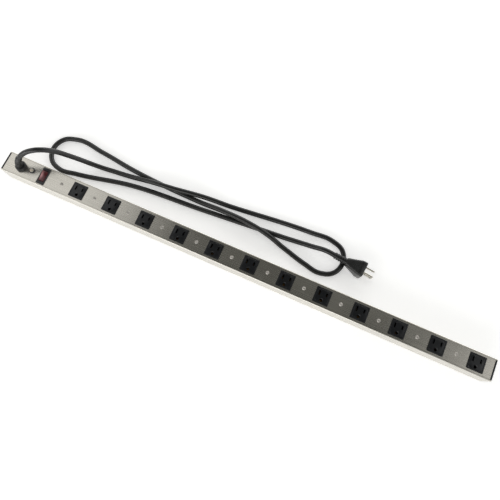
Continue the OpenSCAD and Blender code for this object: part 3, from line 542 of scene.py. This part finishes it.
# Finishes by slot: effect, colour, roughness range, relief, then what else the shader needs
def finish_table():
    look = finishes()
    black = tuple(look.moulding)
    vinyl = tuple(look.vinyl)
    brass = tuple(look.brass)
    return {
        "housing_metal": ("brushed", look.housing, (0.22, 0.32), 0.14,
                          dict(Metallic=1.0, spread=(0.9, 1.06))),
        "cap_plastic": ("moulded", black, (0.42, 0.58), 0.4, dict(dust=0.1)),
        "rivet_metal": ("plated", (0.44, 0.42, 0.39), (0.46, 0.58), 0.3, dict(Metallic=1.0)),
        "outlet_plastic": ("moulded", black, (0.24, 0.36), 0.22, dict(dust=0.07)),
        "carrier_plastic": ("moulded", (0.03, 0.03, 0.032), (0.5, 0.66), 0.4, dict(dust=0.1)),
        "brass_strip": ("plated", brass, (0.2, 0.42), 0.3, dict(Metallic=1.0)),
        "switch_plastic": ("moulded", (0.012, 0.012, 0.013), (0.24, 0.4), 0.35,
                           dict(dust=0.12, Coat_Weight=0.2)),
        "lamp_glass": ("moulded", (0.95, 0.62, 0.45), (0.04, 0.12), 0.1, dict(Transmission_Weight=0.7)),
        # dark collar: the crescent of it seen beside the reset button stands in for the shadow there,
        # painted shade
        "collar_metal": ("plated", (0.16, 0.16, 0.165), (0.28, 0.45), 0.4, dict(Metallic=1.0)),
        "button_ivory": ("moulded", look.button, (0.28, 0.42), 0.2, dict(dust=0.2, Subsurface_Weight=0.1,
                                                                       Subsurface_Scale=0.001)),
        "plated_steel": ("plated", (0.66, 0.66, 0.64), (0.2, 0.4), 0.3, dict(Metallic=1.0)),
        "bushing_nylon": ("moulded", (0.016, 0.017, 0.018), (0.34, 0.5), 0.5, dict(dust=0.15)),
        "cord_vinyl": ("moulded", vinyl, (0.19, 0.32), 0.22, dict(dust=0.1, spread=(0.75, 1.3))),
        "blade_metal": ("plated", (0.66, 0.64, 0.58), (0.1, 0.24), 0.25, dict(Metallic=1.0)),
        "sleeve_red": ("moulded", (0.42, 0.06, 0.05), (0.4, 0.55), 0.3, dict(dust=0.1)),
        "wire_black": ("moulded", (0.02, 0.02, 0.02), (0.35, 0.5), 0.3, dict(dust=0.1)),
        "wire_white": ("moulded", (0.72, 0.71, 0.68), (0.35, 0.5), 0.3, dict(dust=0.1)),
        "wire_green": ("moulded", (0.03, 0.22, 0.07), (0.35, 0.5), 0.3, dict(dust=0.1)),
    }


# Finishes made so far, by slot. They aren't looked up by name, because the frame's
# plain materials have the same names.
MADE = {}


def finish(slot):
    if slot not in MADE:
        if slot == "rocker_red":
            MADE[slot] = rocker_material()
        else:
            kind, rgb, gloss, bump, more = finish_table()[slot]
            MADE[slot] = surface(slot, kind, tuple(rgb), gloss, bump, **more)[0]
    return MADE[slot]


# ------------------------------------------------------------------ operators

class StripOperator(bpy.types.Operator):
    bl_options = {"REGISTER", "UNDO"}

    def execute(self, context):
        clear_selection()
        self.build(context)
        clear_selection()
        return {"FINISHED"}


CAMERA_LENS, CAMERA_SENSOR = 34.18, 36.0     # millimetres
CAMERA_PLACE = Matrix(((0.91416, -0.3904, 0.10905, 0.10557),
                       (0.40524, 0.88628, -0.22422, -0.15839),
                       (-0.00911, 0.24917, 0.96842, 0.82733),
                       (0, 0, 0, 1)))
FLOOR_SIZE = 12.0
FLOOR_GLOW = 0.44          # lifts the floor to an even white

# Soft boxes: name, place, size, how bright their face is
SOFT_BOXES = (("light_left", (-1.42, 0.2, 1.22), (1.0, 1.6), 0.72),
              ("light_right", (1.72, 0.2, 1.42), (0.9, 1.5), 0.85),
              ("light_front", (-0.5, -2.3, 1.05), (3.0, 1.2), 2.6),
              ("light_back", (0.1, 2.4, 1.05), (3.0, 1.2), 1.3))

# The studio's surroundings: how high up, as the upward part of the direction, and the colour there
SKY_LOW = (0.0, (1.0, 1.0, 1.0, 1))
SKY_MIDDLE = (0.72, (0.4, 0.4, 0.385, 1))
SKY_TOP = (0.95, (0.085, 0.086, 0.078, 1))


class STRIP_OT_stage(StripOperator):
    """Adds the camera, the pale floor and the soft studio lights"""
    bl_idname = "strip.stage"
    bl_label = "Studio"

    def build(self, context):
        scene = context.scene
        data = bpy.data.cameras.new("studio_camera")
        data.lens, data.sensor_width = CAMERA_LENS, CAMERA_SENSOR
        data.clip_start, data.clip_end = 0.01, 20.0
        camera = bpy.data.objects.new("studio_camera", data)
        camera.matrix_world = CAMERA_PLACE
        scene.collection.objects.link(camera)
        scene.camera = camera
        scene.view_settings.view_transform = "Standard"

        bpy.ops.mesh.primitive_plane_add(size=FLOOR_SIZE)
        floor = context.object
        floor.name = "studio_floor"
        material, shader = surface("studio_floor", "moulded", finishes().floor, (0.6, 0.75), 0.05,
                                   spread=(0.99, 1.01))
        shader.inputs["Specular IOR Level"].default_value = 0.2
        shader.inputs["Emission Color"].default_value = (1.0, 1.0, 0.995, 1.0)
        shader.inputs["Emission Strength"].default_value = FLOOR_GLOW
        floor.data.materials.append(material)

        for name, at, (wide, tall), bright in SOFT_BOXES:
            lamp = bpy.data.lights.new(name, "AREA")
            lamp.shape, lamp.size, lamp.size_y = "RECTANGLE", wide, tall
            lamp.energy = bright * math.pi * wide * tall
            box = bpy.data.objects.new(name, lamp)
            box.matrix_world = (Matrix.Translation(at)
                                @ Vector(at).to_track_quat("Z", "Y").to_matrix().to_4x4())
            scene.collection.objects.link(box)

        world = bpy.data.worlds.new("studio_world")
        scene.world = world
        world.use_nodes = True
        tree = world.node_tree
        back = next(n for n in tree.nodes if n.type == "BACKGROUND")
        coords = add(tree, "ShaderNodeTexCoord", -900)
        split = add(tree, "ShaderNodeSeparateXYZ", -700)
        ramp = add(tree, "ShaderNodeValToRGB", -400)
        low_stop, top_stop = ramp.color_ramp.elements
        low_stop.position, low_stop.color = SKY_LOW
        top_stop.position, top_stop.color = SKY_TOP
        middle_stop = ramp.color_ramp.elements.new(SKY_MIDDLE[0])
        middle_stop.color = SKY_MIDDLE[1]
        tree.links.new(coords.outputs["Generated"], split.inputs[0])
        tree.links.new(split.outputs["Z"], ramp.inputs["Fac"])
        tree.links.new(ramp.outputs["Color"], back.inputs["Color"])
        back.inputs["Strength"].default_value = 1.0


class STRIP_OT_cord(StripOperator):
    """Lays the cord along its line, from inside the channel to the plug's strain relief"""
    bl_idname = "strip.cord"
    bl_label = "Cord"

    def build(self, context):
        line = [p for _, p in CORD_LINE]
        curve = bpy.data.curves.new("cord_lead", "CURVE")
        curve.dimensions = "3D"
        curve.bevel_depth = sizes().cord_d / 2
        curve.bevel_resolution = 8
        curve.use_fill_caps = True
        spline = curve.splines.new("POLY")
        spline.points.add(len(line) - 1)
        for point, at in zip(spline.points, line):
            point.co = (*at, 1)
        spline.use_smooth = True
        piece = bpy.data.objects.new("cord_lead", curve)
        context.scene.collection.objects.link(piece)
        settle(piece, "housing", "cord_vinyl", "cord")


class STRIP_OT_boot(StripOperator):
    """Turns the ribbed boot that guides the cord out of the bushing, and bends it with the cord"""
    bl_idname = "strip.boot"
    bl_label = "Cord Boot"

    def build(self, context):
        line = [p for i, p in CORD_LINE if EXIT_KNOT <= i < BOOT_END_KNOT]
        length = line_length(line) * 0.995
        inner = sizes().cord_d / 2 + 0.1 * MM
        base, tip = 6.6 * MM, 5.3 * MM
        ribs = 6
        outline = [(inner, 0.0), (base - 0.4 * MM, 0.0), (base, 0.4 * MM)]
        for k in range(ribs):
            for part, sink in ((0.12, 0.0), (0.55, 0.0), (0.66, 0.75), (0.86, 0.75), (0.97, 0.0)):
                share = (k + part) / ribs
                outline.append((base + (tip - base) * share - sink * MM * (0.6 + 0.4 * (1 - share)),
                                1.2 * MM + share * (length - 2.4 * MM)))
        outline += [(tip - 0.1 * MM, length - 0.7 * MM), (tip - 0.6 * MM, length), (inner, length)]
        steps = 24
        outline += [(inner, length * (1 - k / steps)) for k in range(1, steps)]
        piece = spun("boot_sleeve", outline)
        bent(piece, line)
        outward(piece)
        smooth(piece, 50)
        settle(piece, "housing", "cord_vinyl", "cord_boot")


class STRIP_OT_bushing(StripOperator):
    """Makes the six-sided bushing that holds the cord in the face"""
    bl_idname = "strip.bushing"
    bl_label = "Cord Bushing"

    def build(self, context):
        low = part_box("cord_bushing")[0].z
        flat = sizes().bushing_flats / 2
        thread = 7.5 * MM
        sides = 96

        def ring(z, limit):
            points = []
            for k in range(sides):
                a = math.tau * k / sides
                # angle from the nearest flat's middle
                off = (a + math.pi / 6) % (math.pi / 3) - math.pi / 6
                r = min(flat / math.cos(off), limit)
                points.append(Vector((BUSHING_X + r * math.cos(a), r * math.sin(a), z)))
            return points

        top = BUSHING_TOP
        rows = [(low, thread - 0.5 * MM), (low + 0.6 * MM, thread), (FACE_Z, thread), (FACE_Z, 10.1 * MM),
                (FACE_Z + 0.3 * MM, 10.39 * MM), (top - 1.7 * MM, 10.39 * MM), (top - 0.9 * MM, 9.5 * MM),
                (top - 0.45 * MM, 9.1 * MM), (top - 0.15 * MM, 8.6 * MM), (top, 8.2 * MM)]
        piece = lofted("bushing_body", [ring(z, limit) for z, limit in rows])
        bore = sizes().cord_d / 2 + 0.1 * MM
        cutter = spun("bushing_bore", [(0, low - MM), (bore, low - MM), (bore, top + MM), (0, top + MM)])
        place(cutter, Matrix.Translation((BUSHING_X, 0, 0)))
        cut(piece, cutter)
        smooth(piece, 25)
        settle(piece, "housing", "bushing_nylon", "cord_bushing")


class STRIP_OT_plug(StripOperator):
    """Makes the moulded plug, its ribbed strain relief and its two blades"""
    bl_idname = "strip.plug"
    bl_label = "Plug"

    def build(self, context):
        # body, grown backward from its front face; ridges for the fingers on the taper
        wide, high, tail = 28.0, 27.0, 15.0
        shoulder, corner = 9, 4                    # the taper starts at the shoulder
        ridge_start, ridge_pitch, ridges = 11.5, 3.2, 5
        length = sizes().plug_len / MM

        def row(x, shrink=0.0):
            t = min(1.0, max(0.0, (-x - shoulder) / (length - 2 - shoulder)))
            return (x, wide + (tail - wide) * t - 2 * shrink, high + (tail - high) * t - 2 * shrink,
                    corner + t - shrink * 0.5)

        rows = [row(0, 1.0), row(-0.3, 0.35), row(-1.0), row(-7.6), row(-8.0, 0.5), row(-8.6, 0.5),
                row(-9.0)]
        for k in range(ridges):
            x = -ridge_start - ridge_pitch * k
            rows += [row(x), row(x - 0.35, 0.4), row(x - 1.15, 0.4), row(x - 1.5)]
        rows += [row(-29.0), row(-length + 1.6), row(-length + 0.5, 0.4), row(-length, 1.4)]
        sections = []
        for x, w, h, r in in_mm(rows):
            # the section's width lies along the plug's Y and its height along Z
            sections.append([Vector((x, p.x, p.y)) for p in rounded(w, h, r, 0, steps=7)])
        body = lofted("plug_shell", sections)
        place(body, PLUG)
        smooth(body, 30)
        settle(body, "housing", "cord_vinyl", "plug_body")

        relief_len = 24.0
        core = sizes().cord_d / 2 / MM + 1.4
        outline = [(0, -length - relief_len), (core - 1.6, -length - relief_len),
                   (core - 1.0, -length - relief_len + 0.5)]
        ribs = 5
        pitch = (relief_len - 3) / ribs
        for k in range(ribs):
            x = -length - relief_len + 1.6 + k * pitch
            rim = core + 0.2 * k
            outline += [(rim - 1.15, x), (rim - 0.25, x + 0.35), (rim, x + 0.7), (rim, x + pitch * 0.55),
                        (rim - 0.25, x + pitch * 0.62), (rim - 1.15, x + pitch * 0.72)]
        outline += [(core - 0.1, -length - 0.6), (core + 0.1, -length), (0, -length)]
        relief = spun("plug_relief", in_mm(outline))
        place(relief, PLUG @ AXIS_X)
        smooth(relief, 40)
        settle(relief, "housing", "cord_vinyl", "plug_strain_relief")

        # two flat blades with pinched tips and a hole near each tip
        reach, thick, tall, blade_z = 17.8, 1.5, 6.35, 4
        hole_r, hole_back = 1.6, 4
        blades = []
        for side in (-1, 1):
            y = side * BLADE_GAP / 2
            rows = [(0.0, thick, tall), (reach - 2.2, thick, tall), (reach - 0.8, thick * 0.8, tall - 0.7),
                    (reach, thick * 0.4, tall - 2.0)]
            blade = lofted("plug_blade", [[Vector((x, p.x + y, p.y + blade_z)) * MM
                                           for p in rounded(w, h, 0.16, 0, steps=2)] for x, w, h in rows])
            hole = spun("blade_hole", in_mm([(0, -2), (hole_r, -2), (hole_r, 2), (0, 2)]), steps=24)
            place(hole, Matrix.Translation(Vector((reach - hole_back, y, blade_z)) * MM)
                  @ Matrix.Rotation(math.radians(90), 4, "X"))
            cut(blade, hole)
            blades.append(blade)
        select_only(*blades)
        bpy.ops.object.join()
        pair = bpy.context.object
        pair.name = "plug_blade_pair"
        place(pair, PLUG)
        smooth(pair, 30)
        settle(pair, "housing", "blade_metal", "plug_blades")


class STRIP_OT_declare_cord(StripOperator):
    """Does nothing: the lead, a free cord with the plug's pieces on it, is not declared here"""
    bl_idname = "strip.declare_cord"
    bl_label = "Declare Cord"

    def build(self, context):
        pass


class STRIP_OT_outlets(StripOperator):
    """Models one outlet and copies it to each place along the strip"""
    bl_idname = "strip.outlets"
    bl_label = "Outlets"

    def build(self, context):
        first = middle(OUTLETS[0])
        low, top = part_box(OUTLETS[0])[0].z / MM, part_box(OUTLETS[0])[1].z / MM
        face = FACE_Z / MM
        flange, body = sizes().outlet_flange / MM, sizes().outlet_body / MM
        rows = [(low, body - 1, body - 1, 0.8), (low + 0.5, body, body, 1.0), (face, body, body, 1.0),
                (face, flange, flange, 1.3), (top - 0.45, flange, flange, 1.3)]
        # the flange's top, from its rounded edge over a groove to the raised middle:
        # how far down, how much smaller, corner radius
        rows += [(top - down, flange - less, flange - less, r) for down, less, r in
                 ((0.12, 0.35, 1.2), (0, 0.9, 1.1), (0, 3.0, 1.6), (0.12, 3.3, 1.6), (0.62, 3.7, 1.8),
                  (0.62, 5.0, 3.2), (0.16, 5.5, 3.4), (0.04, 5.9, 3.4))]
        piece = slab("outlet_insert_01", in_mm(rows), steps=6)
        slot_y, slot_w, earth_y, earth_r = 4.6, 2.4, -7.3, 2.6
        lead_in, mouth = top - 0.75, top + 0.45        # the holes widen from the first height to the second
        roof, earth_roof = top - 3.6, top - 6.0        # the contacts' chambers end under these
        cutters = []
        for side, span in ((-1, 8.2), (1, 6.6)):       # the neutral slot is the longer one
            at = (side * BLADE_GAP / 2 * MM, slot_y * MM)
            cutters.append(slab("slot", in_mm([(roof - 1, slot_w, span, 0.2), (lead_in, slot_w, span, 0.2),
                                               (mouth, 4.2, span + 1.8, 0.7)]), at, steps=3))
            cutters.append(slab("chamber", in_mm([(low - 1, 5.6, 9, 0.2), (roof, 5.6, 9, 0.2)]),
                                at, steps=2))
        earth = spun("earth", in_mm([(0, earth_roof - 1), (earth_r, earth_roof - 1), (earth_r, lead_in),
                                     (3.7, mouth), (0, mouth)]), steps=36)
        place(earth, Matrix.Translation((0, earth_y * MM, 0)))
        cutters.append(earth)
        cutters.append(slab("earth_chamber", in_mm([(low - 1, 8, 8, 0.2), (earth_roof, 8, 8, 0.2)]),
                            (0, earth_y * MM), steps=2))
        cut(piece, *cutters)
        smooth(piece, 25)
        place(piece, Matrix.Translation((first.x, 0, 0)))
        for name in OUTLETS[1:]:
            twin = copy_of(piece, f"outlet_insert_{name[-2:]}", (middle(name).x - first.x, 0, 0))
            settle(twin, "housing", "outlet_plastic", name)
        settle(piece, "housing", "outlet_plastic", OUTLETS[0])


class STRIP_OT_switch(StripOperator):
    """Makes the switch bezel with its body, and the hollow-topped rocker that tilts in it"""
    bl_idname = "strip.switch"
    bl_label = "Switch"

    def build(self, context):
        face, top, low = FACE_Z / MM, SWITCH_TOP / MM, SWITCH_LOW / MM
        bx, by = sizes().bezel_x / MM, sizes().bezel_y / MM
        body_x, body_y = 12.8, 27.4
        rows = [(low, 12.2, 26.8, 0.5), (low + 0.4, body_x, body_y, 0.6), (face, body_x, body_y, 0.6),
                (face, bx, by, 1.0), (top - 0.75, bx, by, 1.0), (top - 0.35, bx - 0.25, by - 0.25, 1.0),
                (top - 0.08, bx - 0.8, by - 0.8, 0.9), (top, bx - 1.4, by - 1.4, 0.8)]
        housing = slab("switch_bezel", in_mm(rows))
        floor, well_x, well_y = low + 1.6, 10.8, 21.2
        well = slab("well", in_mm([(floor, well_x, well_y, 0.3), (top - 0.5, well_x, well_y, 0.3),
                                   (top + 0.3, 11.9, 22.3, 0.8)]), steps=3)
        cut(housing, well)
        place(housing, Matrix.Translation((SWITCH_X, 0, 0)))
        smooth(housing, 30)
        settle(housing, "housing", "switch_plastic", "switch_housing")

        # from the pivot: the round ends' radius and how far they reach down, then the
        # hollow top's radius and lowest height, and half of the rocker's width
        r, under, dish_r, dish_z, half = 10.2, 3.2, 35.0, 3.4, 5.2
        meet = self.dish_corner(r, dish_r, dish_z)
        start, stop = -math.asin(under / r), math.atan2(meet[1], meet[0])
        right = [(r * math.cos(a), r * math.sin(a))
                 for a in (start + (stop - start) * k / 12 for k in range(13))]
        hollow = []
        for k in range(1, 16):
            y = meet[0] * (1 - 2 * k / 16)
            hollow.append((y, dish_z + dish_r - math.sqrt(dish_r**2 - y**2)))
        outline = right + hollow + [(-y, z) for y, z in reversed(right)]
        rocker = lofted("rocker_cap", [[Vector((x, y, z)) * MM for y, z in outline] for x in (-half, half)])
        soften(rocker, 0.45 * MM, segments=3, angle=35)
        # open underneath, so that the plunger and the lamp have their room
        hollow_cut = slab("room", in_mm([(-under - 1, 2 * half - 2.4, 15.3, 0.6),
                                         (dish_z - 1.4, 2 * half - 2.4, 15.3, 0.6)]), steps=3)
        cut(rocker, hollow_cut)
        place(rocker, Matrix.Translation((SWITCH_X, 0, PIVOT_Z)) @ Matrix.Rotation(ROCKER_REST, 4, "X"))
        smooth(rocker, 32)
        settle(rocker, "rocker", "rocker_red", "rocker")

    @staticmethod
    def dish_corner(r, dish_r, dish_z):
        """Where the rocker's round end meets its hollow top, as (across, up) from the pivot."""
        middle_z = dish_z + dish_r
        z = (r**2 - dish_r**2 + middle_z**2) / (2 * middle_z)
        return math.sqrt(r**2 - z**2), z


class STRIP_OT_breaker(StripOperator):
    """Turns the reset button and the collar and nut that hold the breaker in the face"""
    bl_idname = "strip.breaker"
    bl_label = "Breaker"

    def build(self, context):
        at = Matrix.Translation((BREAKER.x, BREAKER.y, 0))
        low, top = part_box("breaker_button")[0].z / MM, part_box("breaker_button")[1].z / MM
        face = FACE_Z / MM
        r = sizes().button_d / 2 / MM
        stem_r, crown = 1.4, 1.7                       # the crown is the button's domed top
        outline = [(0, low), (1.2, low), (stem_r, low + 0.3), (stem_r, face - 1.0), (r - 0.2, face - 1.0),
                   (r, face - 0.8), (r, top - crown)]
        for k in range(1, 9):
            a = math.radians(90) * k / 9
            outline.append((r * math.cos(a), top - crown + crown * math.sin(a)))
        outline.append((0, top))
        button = spun("reset_button_cap", in_mm(outline))
        place(button, at)
        smooth(button, 45)
        settle(button, "reset_button", "button_ivory", "breaker_button")

        bore_r, nut_r, nut_h, plate = 4.55, 7, 2.2, 1.6
        collar = spun("breaker_collar", in_mm([(bore_r, face), (5.4, face), (5.5, face + 0.15),
                                               (5.5, face + 0.75), (5.15, face + 1.12), (4.85, face + 1.2),
                                               (4.6, face + 1.1), (bore_r, face + 0.9)]))
        low_nut = face - plate - nut_h
        ring = []
        for k in range(6):
            a = math.radians(60 * k + 30)
            ring.append((nut_r * math.cos(a), nut_r * math.sin(a)))
        nut = lofted("breaker_nut", [[Vector((x * s, y * s, z)) * MM for x, y in ring]
                                     for z, s in ((low_nut, 0.96), (low_nut + 0.3, 1), (low_nut + 1.9, 1),
                                                  (low_nut + nut_h, 0.96))])
        bore = spun("nut_bore", in_mm([(0, low_nut - 1), (bore_r, low_nut - 1), (bore_r, face), (0, face)]))
        cut(nut, bore)
        select_only(collar, nut)
        bpy.ops.object.join()
        collar = bpy.context.object
        place(collar, at)
        smooth(collar, 35)
        settle(collar, "housing", "collar_metal", "breaker_nuts")


# The CAD nodes of each slot
SLOTS = {
    "housing_metal": ("channel", "front_plate"),
    "cap_plastic": ("end_cap_left", "end_cap_right"),
    "plated_steel": ("end_cap_screws", "mount_nuts", "rocker_plunger", "switch_terminals", "breaker_spring",
                     "breaker_terminals", "ground_stud", "ground_lugs"),
    "rivet_metal": ("plate_rivets",),
    "outlet_plastic": tuple(OUTLETS),
    "carrier_plastic": ("bus_carrier", "breaker_cover"),
    "brass_strip": ("line_bus", "neutral_bus", "ground_bus", "contact_lever", "breaker_bimetal"),
    "switch_plastic": ("switch_housing", "breaker_case"),
    "rocker_red": ("rocker",),
    "lamp_glass": ("switch_lamp",),
    "collar_metal": ("breaker_nuts",),
    "button_ivory": ("breaker_button",),
    "bushing_nylon": ("cord_bushing", "bushing_locknut"),
    "cord_vinyl": ("cord_boot", "cord", "plug_body", "plug_strain_relief"),
    "blade_metal": ("plug_blades", "plug_ground_pin"),
    "sleeve_red": ("terminal_sleeves",),
    "wire_black": ("wire_line_in", "wire_line_link", "wire_line_bus"),
    "wire_white": ("wire_neutral", "wire_lamp"),
    "wire_green": ("wire_ground", "wire_earth_bus"),
}


def node_slot(name):
    for slot, nodes in SLOTS.items():
        if name in nodes:
            return slot
    raise RuntimeError(f"no finish for {name}")


class STRIP_OT_finishes(StripOperator):
    """Gives every CAD piece that stays its finish, by its material slot"""
    bl_idname = "strip.finishes"
    bl_label = "Metal and Wires"

    def build(self, context):
        for name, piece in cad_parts.items():
            slot = node_slot(name)
            if not piece.material_slots:
                piece.data.materials.append(finish(slot))
            for material_slot in piece.material_slots:
                material_slot.material = finish(slot)


class STRIP_PT_panel(bpy.types.Panel):
    bl_idname = "STRIP_PT_panel"
    bl_label = "Rack Power Strip"
    bl_space_type = "VIEW_3D"
    bl_region_type = "UI"
    bl_category = "Power Strip"

    def draw(self, context):
        for group in (context.scene.strip_sizes, context.scene.strip_finishes):
            box = self.layout.box()
            for key in group.__annotations__:
                box.prop(group, key)
        for operator in OPERATORS:
            self.layout.operator(operator.bl_idname)


OPERATORS = (STRIP_OT_stage, STRIP_OT_cord, STRIP_OT_boot, STRIP_OT_bushing, STRIP_OT_plug,
             STRIP_OT_declare_cord, STRIP_OT_outlets, STRIP_OT_switch, STRIP_OT_breaker, STRIP_OT_finishes)
CLASSES = (StripSizes, StripFinishes, *OPERATORS, STRIP_PT_panel)


def register():
    for cls in CLASSES:
        bpy.utils.register_class(cls)
    bpy.types.Scene.strip_sizes = bpy.props.PointerProperty(type=StripSizes)
    bpy.types.Scene.strip_finishes = bpy.props.PointerProperty(type=StripFinishes)


def unregister():
    del bpy.types.Scene.strip_finishes, bpy.types.Scene.strip_sizes
    for cls in reversed(CLASSES):
        bpy.utils.unregister_class(cls)


def main():
    register()
    for operator in OPERATORS:
        group, name = operator.bl_idname.split(".")
        getattr(getattr(bpy.ops, group), name)()


if __name__ == "__main__":
    main()
